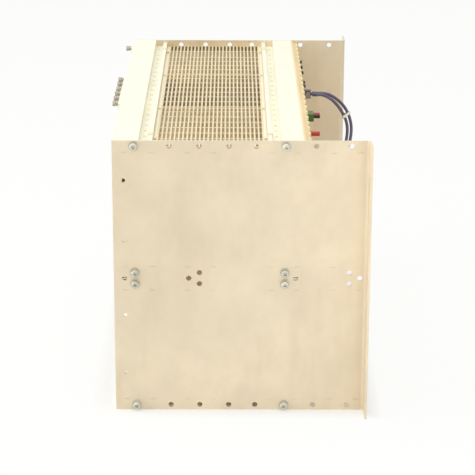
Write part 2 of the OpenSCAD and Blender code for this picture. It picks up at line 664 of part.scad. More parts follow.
place() color([0.18, 0.14, 0.14]) terminal_plug(1);  // terminal_plug_black
place() insulated_terminal();  // insulated_terminal_red
place() power_tab(upper_tab_z);  // upper_power_tab
place() power_tab(lower_tab_z);  // lower_power_tab
place() ring_terminals(upper_tab_z, 0);  // upper_ring_terminals
place() ring_terminals(lower_tab_z, 90);  // lower_ring_terminals
place() terminal_screw(upper_tab_z);  // upper_terminal_screw
place() terminal_screw(lower_tab_z);  // lower_terminal_screw
place() color([0.34, 0.32, 0.40]) tube(outer_route, wire_d);  // power_wire_outer
place() color([0.34, 0.32, 0.40]) tube(inner_route, wire_d);  // power_wire_inner
place() cable_tie();
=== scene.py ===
"""Looks of a six-unit subrack card cage: a finish for every part, and the small pieces that the solids leave plain.

Every length is in metres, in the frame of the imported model: X across the rack, Y from the board side to the
backplanes, Z up from the base.
"""

import json
import logging
import math
import random
from dataclasses import dataclass
from enum import Enum

import bmesh
import bpy
from mathutils import Matrix, Vector


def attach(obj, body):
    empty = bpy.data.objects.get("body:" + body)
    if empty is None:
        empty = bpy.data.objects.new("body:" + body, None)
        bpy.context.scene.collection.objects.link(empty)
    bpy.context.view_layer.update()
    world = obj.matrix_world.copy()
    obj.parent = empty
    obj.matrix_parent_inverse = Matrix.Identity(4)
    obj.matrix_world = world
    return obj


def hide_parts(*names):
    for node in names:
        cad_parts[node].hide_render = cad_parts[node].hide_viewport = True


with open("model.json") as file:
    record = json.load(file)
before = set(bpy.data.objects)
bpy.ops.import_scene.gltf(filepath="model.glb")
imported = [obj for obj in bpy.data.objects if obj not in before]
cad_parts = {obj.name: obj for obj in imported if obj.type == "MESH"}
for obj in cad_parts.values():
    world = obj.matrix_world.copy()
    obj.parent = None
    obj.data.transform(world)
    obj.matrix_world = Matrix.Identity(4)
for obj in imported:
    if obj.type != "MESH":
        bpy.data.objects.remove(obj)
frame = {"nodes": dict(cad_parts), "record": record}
LOG = logging.getLogger("card_cage")
MM = 0.001
FULL_TURN = 6.28
Triple = tuple[float, float, float]


# ---------------------------------------------------------------------------------------------------------------
# Sizes that the pieces share
# ---------------------------------------------------------------------------------------------------------------


@dataclass(frozen=True)
class CageSizes:
    """Sizes of the cage that more than one piece needs, in millimetres, as the solids have them."""

    pitch: float = 5.08
    slots: int = 21
    first_x: float = -84 * 5.08 / 2
    half_w: float = 215.9
    half_h: float = 132.95
    shift_y: float = (8.7 - 238) / 2
    screw_in: float = 5.075
    mid_gap: float = 0.8
    sheet: float = 2.0
    front_y: float = 20.0
    rear_y: float = 160.0
    backplane_front: float = 178.2
    backplane_rear: float = 182.2
    board_in: float = 4.07
    socket_off: float = 5.9
    module_slots: tuple[int, ...] = (2, 32, 36, 40, 44, 48, 52)

    @property
    def screw_z(self) -> float:
        """Height of the outer screw rows above the cage's middle."""
        return self.half_h - self.screw_in

    @property
    def mid_z(self) -> float:
        """Height of the inner screw rows above the cage's middle."""
        return self.mid_gap / 2 + self.screw_in

    @property
    def bay_z(self) -> float:
        """Height of the upper bay's middle above the cage's middle."""
        return (self.screw_z + self.mid_z) / 2

    @property
    def guide_slots(self) -> list[int]:
        """Left edges of the slots that have guides and connectors, in pitch units."""
        return [2] + [4 * k for k in range(2, self.slots)]

    def slot_x(self, unit: float) -> float:
        """Place across the cage of a pitch unit."""
        return self.first_x + unit * self.pitch

    def board_x(self, unit: float) -> float:
        """Place across the cage of the board in the slot that starts at a pitch unit."""
        return self.slot_x(unit) + self.board_in

    def point(self, x: float, y: float, z: float) -> Vector:
        """Turns a place in the drawing's millimetres to a place in the model's metres.

        Args:
            x: Across the cage from its middle.
            y: Behind the front edge of the side plates.
            z: Above the cage's middle.

        Returns:
            The same place in metres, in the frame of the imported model.
        """
        return Vector((x, y + self.shift_y, z + self.half_h)) * MM


SIZES = CageSizes()


# ---------------------------------------------------------------------------------------------------------------
# Finishes
# ---------------------------------------------------------------------------------------------------------------


class Grain(Enum):
    """The surface patterns that a finish can have."""

    CLOUDY = "rolled sheet with soft clouds and faint handling marks"
    DRAWN = "fine lines along the extrusion"
    TURNED = "plated, with a fine uneven grain"
    MOULDED = "moulded plastic"
    WOVEN = "glass cloth under resin"
    TRACKS = "copper tracks under lacquer"
    SHEATH = "smooth flexible sheath"


def linear(colour: Triple) -> tuple[float, float, float, float]:
    """Turns a colour as it is seen on screen to the linear values that the shaders take.

    Args:
        colour: Red, green and blue, from 0 to 1.

    Returns:
        The linear colour with an alpha of 1.
    """
    return tuple(c / 12.92 if c <= 0.04045 else ((c + 0.055) / 1.055) ** 2.4 for c in colour) + (1.0,)


class ShaderSheet:
    """A material's node tree while it is put together."""

    def __init__(self, name: str) -> None:
        """Starts a material with a plain surface shader.

        Args:
            name: The material's name.
        """
        self.material = bpy.data.materials.new(name)
        self.material.use_nodes = True
        self.nodes = self.material.node_tree.nodes
        self.links = self.material.node_tree.links
        self.surface = next(n for n in self.nodes if n.type == "BSDF_PRINCIPLED")
        self.place = self.add("ShaderNodeTexCoord").outputs["Object"]

    def add(self, kind: str, **inputs: object) -> bpy.types.Node:
        """Adds a node.

        Args:
            kind: The node's type.
            **inputs: Values or sockets for its inputs, by name with underscores for spaces.

        Returns:
            The new node.
        """
        node = self.nodes.new(kind)
        for name, value in inputs.items():
            socket = node.inputs[name.replace("_", " ")]
            if isinstance(value, bpy.types.NodeSocket):
                self.links.new(value, socket)
            else:
                socket.default_value = value
        return node

    def stretched(self, scale: Triple, offset: Triple = (0, 0, 0)) -> object:
        """The place on the surface, stretched by a scale per axis and moved by an offset."""
        return self.add("ShaderNodeMapping", Vector=self.place, Scale=scale, Location=offset).outputs[0]

    def noise(self, scale: float, detail: float = 3.0, rough: float = 0.5, at: object = None) -> object:
        """A noise pattern.

        Args:
            scale: Repeats per metre.
            detail: Number of octaves.
            rough: Weight of the finer octaves.
            at: The coordinates, or None for the plain place on the surface.

        Returns:
            The socket with its values, from 0 to 1.
        """
        node = self.add("ShaderNodeTexNoise", Vector=at or self.place, Scale=scale, Detail=detail, Roughness=rough)
        return node.outputs["Fac"]

    def spread(self, value: object, low: float, high: float, out_low: float, out_high: float) -> object:
        """Maps a value from one range to another, held at both ends."""
        node = self.add("ShaderNodeMapRange", Value=value, From_Min=low, From_Max=high, To_Min=out_low,
                        To_Max=out_high)
        return node.outputs[0]

    def blend(self, amount: object, first: object, second: object) -> object:
        """Mixes two colours, each a socket or a tuple, by an amount.

        Args:
            amount: Share of the second colour, from 0 to 1.
            first: The colour at 0.
            second: The colour at 1.

        Returns:
            The socket with the mixed colour.
        """
        node = self.nodes.new("ShaderNodeMix")
        node.data_type = "RGBA"
        for index, value in ((0, amount), (6, first), (7, second)):
            if isinstance(value, bpy.types.NodeSocket):
                self.links.new(value, node.inputs[index])
            else:
                node.inputs[index].default_value = value
        return node.outputs[2]

    def maths(self, operation: str, first: object, second: object) -> object:
        """Works out one operation on two values, each a socket or a number.

        Args:
            operation: The operation's name.
            first: The first value.
            second: The second value.

        Returns:
            The socket with the result.
        """
        node = self.nodes.new("ShaderNodeMath")
        node.operation = operation
        for index, value in ((0, first), (1, second)):
            if isinstance(value, bpy.types.NodeSocket):
                self.links.new(value, node.inputs[index])
            else:
                node.inputs[index].default_value = value
        return node.outputs[0]

    def bump(self, height: object, depth: float) -> None:
        """Raises the surface by a height pattern of a depth in metres."""
        node = self.add("ShaderNodeBump", Height=height, Strength=1.0, Distance=depth)
        self.links.new(node.outputs[0], self.surface.inputs["Normal"])

    def colour(self, value: object) -> None:
        """Gives the surface its colour."""
        self.links.new(value, self.surface.inputs["Base Color"])

    def rough(self, value: object) -> None:
        """Gives the surface its roughness pattern."""
        self.links.new(value, self.surface.inputs["Roughness"])

    def axes(self) -> tuple[object, object, object]:
        """The place on the surface as three separate values."""
        node = self.add("ShaderNodeSeparateXYZ", Vector=self.place)
        return node.outputs[0], node.outputs[1], node.outputs[2]


@dataclass(frozen=True)
class Finish:
    """One finish of the cage: its colour, how shiny it is and which pattern it has."""

    name: str
    colour: Triple
    grain: Grain
    metallic: float = 0.0
    roughness: float = 0.5
    spread: float = 0.06
    second: Triple | None = None

    def shade(self, factor: float) -> tuple[float, float, float, float]:
        """The finish's colour made lighter or darker by a factor, in linear values."""
        return linear(tuple(min(1.0, c * factor) for c in self.colour))

    def uneven(self, sheet: ShaderSheet, pattern: object, low: float = 0.3, high: float = 0.7,
               lift: float = 1.0) -> object:
        """The finish's colour, from darker to lighter by its spread, as a pattern goes from low to high."""
        return sheet.blend(sheet.spread(pattern, low, high, 0.0, 1.0), self.shade(1 - self.spread),
                           self.shade(1 + self.spread * lift))

    def material(self) -> bpy.types.Material:
        """Builds the material, or gives the one that is already built.

        Returns:
            The Blender material of this finish.
        """
        known = bpy.data.materials.get(self.name)
        if known is not None:
            return known
        sheet = ShaderSheet(self.name)
        sheet.surface.inputs["Metallic"].default_value = self.metallic
        {
            Grain.CLOUDY: self._cloudy,
            Grain.DRAWN: self._drawn,
            Grain.TURNED: self._turned,
            Grain.MOULDED: self._moulded,
            Grain.WOVEN: self._woven,
            Grain.TRACKS: self._tracks,
            Grain.SHEATH: self._sheath,
        }[self.grain](sheet)
        sheet.material.diffuse_color = linear(self.colour)
        return sheet.material

    def _cloudy(self, sheet: ShaderSheet) -> None:
        """Rolled sheet: wide clouds, small mottling, faint upright smears and a very fine grain.

        Args:
            sheet: The material to fill.
        """
        wide = sheet.noise(14.0, 3.0, 0.55)
        small = sheet.noise(85.0, 4.0, 0.6)
        smear = sheet.noise(30.0, 3.0, 0.6, sheet.stretched((1.0, 1.0, 0.35), (0.4, 0.1, 0.7)))
        base = self.uneven(sheet, wide, 0.32, 0.68, 0.6)
        base = sheet.blend(sheet.spread(small, 0.45, 0.75, 0.0, 0.35), base, self.shade(1 - 1.3 * self.spread))
        dull = linear(self.second or tuple(c * 0.9 for c in self.colour))
        sheet.colour(sheet.blend(sheet.spread(smear, 0.52, 0.78, 0.0, 0.6), base, dull))
        sheet.rough(sheet.spread(small, 0.3, 0.7, self.roughness - 0.05, self.roughness + 0.07))
        sheet.bump(sheet.noise(2600.0, 2.0, 0.6), 0.000012)

    def _drawn(self, sheet: ShaderSheet) -> None:
        """Extruded and anodised: fine lines along X over a nearly even colour.

        Args:
            sheet: The material to fill.
        """
        lines = sheet.noise(1500.0, 3.0, 0.6, sheet.stretched((0.012, 1.0, 1.0)))
        wide = sheet.noise(20.0, 2.0, 0.5)
        base = self.uneven(sheet, wide, lift=0.5)
        sheet.colour(sheet.blend(sheet.spread(lines, 0.5, 0.8, 0.0, 0.5), base, self.shade(1 - 1.5 * self.spread)))
        sheet.rough(sheet.spread(lines, 0.3, 0.7, self.roughness - 0.05, self.roughness + 0.08))
        sheet.bump(lines, 0.00001)

    def _turned(self, sheet: ShaderSheet) -> None:
        """Plated hardware: uneven fine grain and a little dulling in the clouds.

        Args:
            sheet: The material to fill.
        """
        grain = sheet.noise(1800.0, 3.0, 0.6)
        wide = sheet.noise(160.0, 2.0, 0.5)
        base = self.uneven(sheet, wide)
        sheet.colour(sheet.blend(sheet.spread(grain, 0.45, 0.8, 0.0, 0.6), base, self.shade(1 - 2 * self.spread)))
        sheet.rough(sheet.spread(grain, 0.3, 0.7, self.roughness - 0.06, self.roughness + 0.1))
        sheet.bump(grain, 0.00001)

    def _moulded(self, sheet: ShaderSheet) -> None:
        """Moulded plastic: an even colour with fine spark texture and slight flow marks.

        Args:
            sheet: The material to fill.
        """
        flow = sheet.noise(70.0, 2.0, 0.5)
        spark = sheet.noise(3200.0, 2.0, 0.5)
        sheet.colour(self.uneven(sheet, flow))
        sheet.rough(sheet.spread(spark, 0.3, 0.7, self.roughness - 0.05, self.roughness + 0.05))
        sheet.bump(spark, 0.00002)

    def _woven(self, sheet: ShaderSheet) -> None:
        """Bare laminate: the weave of the glass cloth shows through the resin.

        Args:
            sheet: The material to fill.
        """
        cloth = sheet.stretched((1.0, 0.0, 1.0))
        over = sheet.add("ShaderNodeTexWave", Vector=cloth, Scale=190.0, Distortion=0.3)
        over.bands_direction = "X"
        under = sheet.add("ShaderNodeTexWave", Vector=cloth, Scale=190.0, Distortion=0.3)
        under.bands_direction = "Z"
        weave = sheet.maths("MULTIPLY", over.outputs["Fac"], under.outputs["Fac"])
        wide = sheet.noise(24.0, 3.0, 0.5)
        base = self.uneven(sheet, wide)
        sheet.colour(sheet.blend(sheet.spread(weave, 0.0, 1.0, 0.0, 0.35), base, self.shade(1.12)))
        sheet.rough(sheet.spread(weave, 0.0, 1.0, self.roughness, self.roughness + 0.1))
        sheet.bump(weave, 0.00001)

    def _tracks(self, sheet: ShaderSheet) -> None:
        """A board's lacquer with copper tracks under it, in runs that change direction from place to place.

        Args:
            sheet: The material to fill.
        """
        cells = sheet.add("ShaderNodeTexBrick", Vector=sheet.stretched((0.0, 1.0, 1.0)), Scale=46.0,
                          Mortar_Size=0.03, Mortar_Smooth=0.2)
        _, y, z = sheet.axes()
        lengthwise = sheet.maths("PINGPONG", z, 0.00127)
        upright = sheet.maths("PINGPONG", y, 0.00127)
        choose = sheet.spread(sheet.noise(34.0, 1.0, 0.3), 0.49, 0.51, 0.0, 1.0)
        rest = sheet.maths("MULTIPLY", upright, sheet.maths("SUBTRACT", 1.0, choose))
        mixed = sheet.maths("ADD", sheet.maths("MULTIPLY", lengthwise, choose), rest)
        runs = sheet.spread(sheet.noise(60.0, 2.0, 0.6), 0.47, 0.5, 0.0, 1.0)
        track = sheet.maths("MULTIPLY", sheet.spread(mixed, 0.00075, 0.00085, 0.0, 1.0), runs)
        base = sheet.blend(sheet.spread(cells.outputs["Fac"], 0.0, 1.0, 0.0, 0.5), self.shade(1.0), self.shade(0.8))
        sheet.colour(sheet.blend(track, base, linear(self.second or tuple(min(1.0, c * 1.45) for c in self.colour))))
        sheet.rough(sheet.spread(track, 0.0, 1.0, self.roughness, self.roughness + 0.12))
        sheet.bump(track, 0.00003)

    def _sheath(self, sheet: ShaderSheet) -> None:
        """A flexible sheath: soft shine, faint lengthwise bloom and tiny pits.

        Args:
            sheet: The material to fill.
        """
        bloom = sheet.noise(120.0, 3.0, 0.5)
        pits = sheet.noise(2400.0, 2.0, 0.5)
        sheet.colour(self.uneven(sheet, bloom, 0.3, 0.75, 2.0))
        sheet.rough(sheet.spread(bloom, 0.3, 0.7, self.roughness - 0.06, self.roughness + 0.08))
        sheet.bump(pits, 0.00002)


FINISHES: dict[str, Finish] = {
    "side_plate": Finish("passivated_sheet", (0.915, 0.855, 0.745), Grain.CLOUDY, 0.25, 0.46, 0.035,
                         (0.86, 0.79, 0.67)),
    "rail": Finish("anodised_rail", (0.965, 0.955, 0.875), Grain.DRAWN, 0.15, 0.48, 0.02),
    "cover": Finish("passivated_cover", (0.93, 0.86, 0.70), Grain.CLOUDY, 0.3, 0.42, 0.04, (0.84, 0.77, 0.62)),
    "threaded_strip": Finish("zinc_strip", (0.72, 0.71, 0.68), Grain.DRAWN, 0.85, 0.4, 0.05),
    "rail_screw": Finish("dulled_zinc", (0.80, 0.79, 0.73), Grain.TURNED, 0.8, 0.38, 0.07),
    "washer": Finish("zinc_washer", (0.80, 0.78, 0.72), Grain.TURNED, 0.7, 0.38, 0.05),
    "clip": Finish("spring_steel_clip", (0.95, 0.91, 0.78), Grain.TURNED, 0.6, 0.35, 0.04),
    "guide": Finish("guide_plastic", (0.92, 0.87, 0.76), Grain.MOULDED, 0.0, 0.5, 0.06),
    "insulation": Finish("insulating_laminate", (0.95, 0.86, 0.68), Grain.WOVEN, 0.0, 0.55, 0.03),
    "backplane": Finish("backplane_laminate", (0.90, 0.80, 0.60), Grain.WOVEN, 0.0, 0.4, 0.04),
    "backplane_screw": Finish("bright_plated_screw", (0.97, 0.90, 0.68), Grain.TURNED, 0.6, 0.3, 0.04),
    "connector": Finish("connector_plastic", (0.84, 0.79, 0.68), Grain.MOULDED, 0.0, 0.5, 0.03),
    "front_panel": Finish("anodised_panel", (0.96, 0.95, 0.87), Grain.DRAWN, 0.15, 0.45, 0.02),
    "captive_screw": Finish("nickel_captive_screw", (0.66, 0.63, 0.57), Grain.TURNED, 0.75, 0.34, 0.06),
    "board": Finish("board_lacquer", (0.80, 0.70, 0.48), Grain.TRACKS, 0.0, 0.35, 0.06),
    "holder": Finish("cast_holder", (0.80, 0.79, 0.75), Grain.TURNED, 0.6, 0.45, 0.05),
    "transformer": Finish("potted_block", (0.17, 0.14, 0.13), Grain.MOULDED, 0.0, 0.45, 0.08),
    "relay": Finish("relay_case", (0.76, 0.68, 0.54), Grain.MOULDED, 0.0, 0.3, 0.06),
    "capacitor": Finish("capacitor_sleeve", (0.15, 0.13, 0.14), Grain.MOULDED, 0.0, 0.3, 0.08),
    "green_plastic": Finish("green_block", (0.30, 0.44, 0.17), Grain.MOULDED, 0.0, 0.42, 0.06),
    "red_plastic": Finish("red_terminal", (0.80, 0.25, 0.17), Grain.MOULDED, 0.0, 0.4, 0.06),
    "black_plastic": Finish("black_terminal", (0.14, 0.11, 0.11), Grain.MOULDED, 0.0, 0.4, 0.06),
    "tinned": Finish("tinned_tab", (0.62, 0.59, 0.57), Grain.TURNED, 0.8, 0.35, 0.05),
    "terminal_sleeve": Finish("crimp_sleeve", (0.32, 0.30, 0.36), Grain.MOULDED, 0.0, 0.35, 0.06),
    "wire": Finish("wire_sheath", (0.38, 0.35, 0.45), Grain.SHEATH, 0.0, 0.34, 0.05),
    "tie": Finish("nylon_tie", (0.95, 0.93, 0.86), Grain.MOULDED, 0.0, 0.4, 0.03),
}


# ---------------------------------------------------------------------------------------------------------------
# Pieces
# ---------------------------------------------------------------------------------------------------------------


class CadDress:
    """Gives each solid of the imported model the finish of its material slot."""

    def build(self) -> None:
        """Assigns the finishes to the solids' own material slots."""
        slots = {part["node"]: part["material_slot"] for part in frame["record"]["subparts"]}
        for name, piece in frame["nodes"].items():
            material = FINISHES[slots[name]].material()
            if not piece.material_slots:
                piece.data.materials.append(material)
            for slot in piece.material_slots:
                slot.material = material
        LOG.info("finishes set on %d solids", len(frame["nodes"]))


@dataclass
class PowerWires:
    """The two wires that loop from the upper backplane's terminal tab to the lower one's."""

    diameter: float = 3.2 * MM
    outer: tuple[Triple, ...] = (
        (-43, 199, 114), (-43, 205, 114), (-43, 211, 113), (-42.5, 217, 110), (-42, 223, 105.5),
        (-41.5, 228, 100), (-41, 232, 93), (-40.5, 234.6, 85.5), (-40, 235.8, 78), (-40, 235.6, 69.5), (-40, 234, 60),
        (-40, 231, 49.5), (-40, 226.5, 38.5), (-40.5, 220.5, 27.5), (-41, 213.5, 17), (-41.5, 206.5, 7.5),
        (-42, 200, -1.5), (-42.8, 193.8, -9), (-43, 189.9, -15.5), (-43, 189.4, -22))
    inner: tuple[Triple, ...] = (
        (-37, 199, 114), (-37, 204, 113.8), (-37, 209, 112), (-37.5, 214.5, 108.5), (-38, 219.5, 103.5),
        (-38.5, 224, 97.5), (-39, 228, 90.5), (-39.5, 230.6, 83.5), (-40, 231.6, 76.5), (-40, 231.4, 69),
        (-40, 230, 60.5),
        (-40, 227, 51), (-40, 222.5, 41), (-39.5, 216.5, 31), (-39, 209.5, 21), (-38.5, 202.5, 11), (-38, 196.5, 1),
        (-37, 192, -8), (-37, 189.8, -15.5), (-37, 189.4, -22))

    def smooth(self, route: tuple[Triple, ...], steps: int = 2) -> list[Vector]:
        """Points on a smooth line through a route.

        Args:
            route: Places in the drawing's millimetres.
            steps: Points for each stretch of the route.

        Returns:
            The line's points in metres.
        """
        p = [SIZES.point(*q) for q in route]
        line = []
        for i in range(len(p) - 1):
            a, b, c, d = p[max(0, i - 1)], p[i], p[i + 1], p[min(len(p) - 1, i + 2)]
            for k in range(steps):
                u = k / steps
                line.append(0.5 * (2 * b + (c - a) * u + (2 * a - 5 * b + 4 * c - d) * u * u
                                   + (3 * b - a - 3 * c + d) * u ** 3))
        return line + [p[-1]]

    def make(self, name: str, route: tuple[Triple, ...], node: str) -> bpy.types.Object:
        """Builds one wire as a smooth round curve in the place of its solid.

        Args:
            name: The piece's name.
            route: The wire's places in the drawing's millimetres.
            node: The solid that the wire stands for.

        Returns:
            The wire.
        """
        line = self.smooth(route)
        curve = bpy.data.curves.new(name, "CURVE")
        curve.dimensions = "3D"
        curve.bevel_depth = self.diameter / 2
        curve.bevel_resolution = 6
        curve.use_fill_caps = True
        spline = curve.splines.new("POLY")
        spline.points.add(len(line) - 1)
        for point, place in zip(spline.points, line):
            point.co = (*place, 1.0)
        curve.materials.append(FINISHES["wire"].material())
        wire = bpy.data.objects.new(name, curve)
        bpy.context.scene.collection.objects.link(wire)
        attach(wire, "root")
        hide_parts(node)
        return wire

    def build(self) -> None:
        """Builds both wires."""
        self.make("outer_power_wire", self.outer, "power_wire_outer")
        self.make("inner_power_wire", self.inner, "power_wire_inner")


class Shape:
    """Small solid shapes that are set out in numbers, each drawn about its own seat and pointing along +Z."""

    @staticmethod
    def turned(name: str, profile: list[tuple[float, float]], sides: int = 24, ridges: tuple[int, ...] = (),
               ridge: float = 0.0) -> bpy.types.Object:
        """Turns a profile about Z.

        Args:
            name: The shape's name.
            profile: Radius and height of each ring in millimetres, from the seat up.
            sides: Number of corners in a ring.
            ridges: Rings whose every second corner is pulled in, as on a knurl.
            ridge: How far they are pulled in, in millimetres.

        Returns:
            The shape, closed at both ends.
        """
        build = bmesh.new()
        rings = []
        for i, (radius, height) in enumerate(profile):
            ring = []
            for k in range(sides):
                r = (radius - (ridge if i in ridges and k % 2 else 0.0)) * MM
                angle = 2 * math.pi * k / sides
                ring.append(build.verts.new((r * math.cos(angle), r * math.sin(angle), height * MM)))
            rings.append(ring)
        for low, high in zip(rings, rings[1:]):
            for k in range(sides):
                m = (k + 1) % sides
                build.faces.new((low[k], low[m], high[m], high[k]))
        build.faces.new(rings[0][::-1])
        build.faces.new(rings[-1])
        return Shape.finished(name, build)

    @staticmethod
    def block(name: str, boxes: list[tuple[Triple, Triple]], bevel: float = 0.0) -> bpy.types.Object:
        """Makes one shape of several blocks.

        Args:
            name: The shape's name.
            boxes: Lowest and highest corner of each block in millimetres.
            bevel: Width of the eased edges in millimetres.

        Returns:
            The shape.
        """
        build = bmesh.new()
        for low, high in boxes:
            middle = [(a + b) / 2 * MM for a, b in zip(low, high)]
            size = [(b - a) * MM for a, b in zip(low, high)]
            bmesh.ops.create_cube(build, size=1.0, matrix=Matrix.Translation(middle) @ Matrix.Diagonal((*size, 1.0)))
        if bevel:
            bmesh.ops.bevel(build, geom=list(build.edges), offset=bevel * MM, segments=1, affect="EDGES")
        return Shape.finished(name, build)

    @staticmethod
    def finished(name: str, build: bmesh.types.BMesh) -> bpy.types.Object:
        """Turns a mesh that was built into an object, and frees it.

        Args:
            name: The shape's name.
            build: The mesh as it was built.

        Returns:
            The shape, linked to the scene.
        """
        mesh = bpy.data.meshes.new(name)
        build.to_mesh(mesh)
        build.free()
        shape = bpy.data.objects.new(name, mesh)
        bpy.context.scene.collection.objects.link(shape)
        return shape

    @staticmethod
    def cut(shape: bpy.types.Object, cutters: list[bpy.types.Object]) -> bpy.types.Object:
        """Cuts shapes out of a shape, such as a socket or a slot, and removes the cutters.

        Args:
            shape: The shape to cut.
            cutters: What is taken out of it.

        Returns:
            The same shape with its new mesh.
        """
        for cutter in cutters:
            step = shape.modifiers.new("cut", "BOOLEAN")
            step.operation, step.solver, step.object = "DIFFERENCE", "EXACT", cutter
        tree = bpy.context.evaluated_depsgraph_get()
        shape_mesh = bpy.data.meshes.new_from_object(shape.evaluated_get(tree), depsgraph=tree)
        shape.modifiers.clear()
        shape.data = shape_mesh
        for cutter in cutters:
            bpy.data.objects.remove(cutter)
        return shape


class CopiesTree:
    """A Geometry Nodes tree that sets a shape on every point of a mesh, each copy with its own turn and size."""

    def __init__(self) -> None:
        """Builds the tree and its named inputs."""
        self.group = bpy.data.node_groups.new("set_out_copies", "GeometryNodeTree")
        face = self.group.interface
        face.new_socket("Geometry", in_out="OUTPUT", socket_type="NodeSocketGeometry")
        face.new_socket("Geometry", in_out="INPUT", socket_type="NodeSocketGeometry")
        kinds = {"Shape": "Object", "Direction": "Vector", "Turn": "Float", "Size": "Float", "Size Spread": "Float",
                 "Seed": "Int", "Finish": "Material"}
        self.inputs = {n: face.new_socket(n, in_out="INPUT", socket_type="NodeSocket" + k).identifier for n,
                       k in kinds.items()}
        nodes, links = self.group.nodes, self.group.links
        start, end = nodes.new("NodeGroupInput"), nodes.new("NodeGroupOutput")
        info = nodes.new("GeometryNodeObjectInfo")
        links.new(start.outputs["Shape"], info.inputs["Object"])
        points = nodes.new("GeometryNodeMeshToPoints")
        links.new(start.outputs["Geometry"], points.inputs["Mesh"])
        turn = nodes.new("FunctionNodeRandomValue")
        links.new(start.outputs["Turn"], turn.inputs[3])
        links.new(start.outputs["Seed"], turn.inputs["Seed"])
        spin = nodes.new("ShaderNodeCombineXYZ")
        links.new(turn.outputs[1], spin.inputs["Z"])
        align = nodes.new("FunctionNodeAlignEulerToVector")
        align.axis = "Z"
        links.new(start.outputs["Direction"], align.inputs["Vector"])
        rotate = nodes.new("FunctionNodeRotateEuler")
        rotate.space = "LOCAL"
        links.new(align.outputs[0], rotate.inputs["Rotation"])
        links.new(spin.outputs[0], rotate.inputs["Rotate By"])
        low = nodes.new("ShaderNodeMath")
        low.operation = "SUBTRACT"
        links.new(start.outputs["Size"], low.inputs[0])
        links.new(start.outputs["Size Spread"], low.inputs[1])
        size = nodes.new("FunctionNodeRandomValue")
        links.new(low.outputs[0], size.inputs[2])
        links.new(start.outputs["Size"], size.inputs[3])
        links.new(start.outputs["Seed"], size.inputs["Seed"])
        place = nodes.new("GeometryNodeInstanceOnPoints")
        links.new(points.outputs[0], place.inputs["Points"])
        links.new(info.outputs["Geometry"], place.inputs["Instance"])
        links.new(rotate.outputs[0], place.inputs["Rotation"])
        links.new(size.outputs[1], place.inputs["Scale"])
        real = nodes.new("GeometryNodeRealizeInstances")
        links.new(place.outputs[0], real.inputs[0])
        dress = nodes.new("GeometryNodeSetMaterial")
        links.new(real.outputs[0], dress.inputs["Geometry"])
        links.new(start.outputs["Finish"], dress.inputs["Material"])
        links.new(dress.outputs[0], end.inputs[0])

    def piece(self, name: str, shape: bpy.types.Object, places: list[Vector], direction: Triple, slot: str,
              turn: float = 0.0, size_spread: float = 0.0, seed: int = 1,
              replaces: tuple[str, ...] = ()) -> bpy.types.Object:
        """Makes one piece of many copies.

        Args:
            name: The piece's name.
            shape: The shape to copy, which is removed afterwards.
            places: Where the copies sit, in metres.
            direction: Where their +Z points.
            slot: The material slot that they take their finish from.
            turn: Largest turn about their own axis, in radians.
            size_spread: How much smaller a copy may be.
            seed: Seed for the turns and sizes.
            replaces: Solids that the piece stands for.

        Returns:
            The finished piece, a plain mesh.
        """
        mesh = bpy.data.meshes.new(name)
        mesh.from_pydata([tuple(p) for p in places], [], [])
        piece = bpy.data.objects.new(name, mesh)
        bpy.context.scene.collection.objects.link(piece)
        step = piece.modifiers.new("copies", "NODES")
        step.node_group = self.group
        values = {"Shape": shape, "Direction": direction, "Turn": turn, "Size": 1.0, "Size Spread": size_spread,
                  "Seed": seed, "Finish": FINISHES[slot].material()}
        for key, value in values.items():
            step[self.inputs[key]] = value
        tree = bpy.context.evaluated_depsgraph_get()
        made = bpy.data.meshes.new_from_object(piece.evaluated_get(tree), depsgraph=tree)
        piece.modifiers.clear()
        piece.data = made
        bpy.data.objects.remove(shape)
        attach(piece, "root")
        if replaces:
            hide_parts(*replaces)
        LOG.info("%s: %d copies, %d faces", name, len(places), len(made.polygons))
        return piece


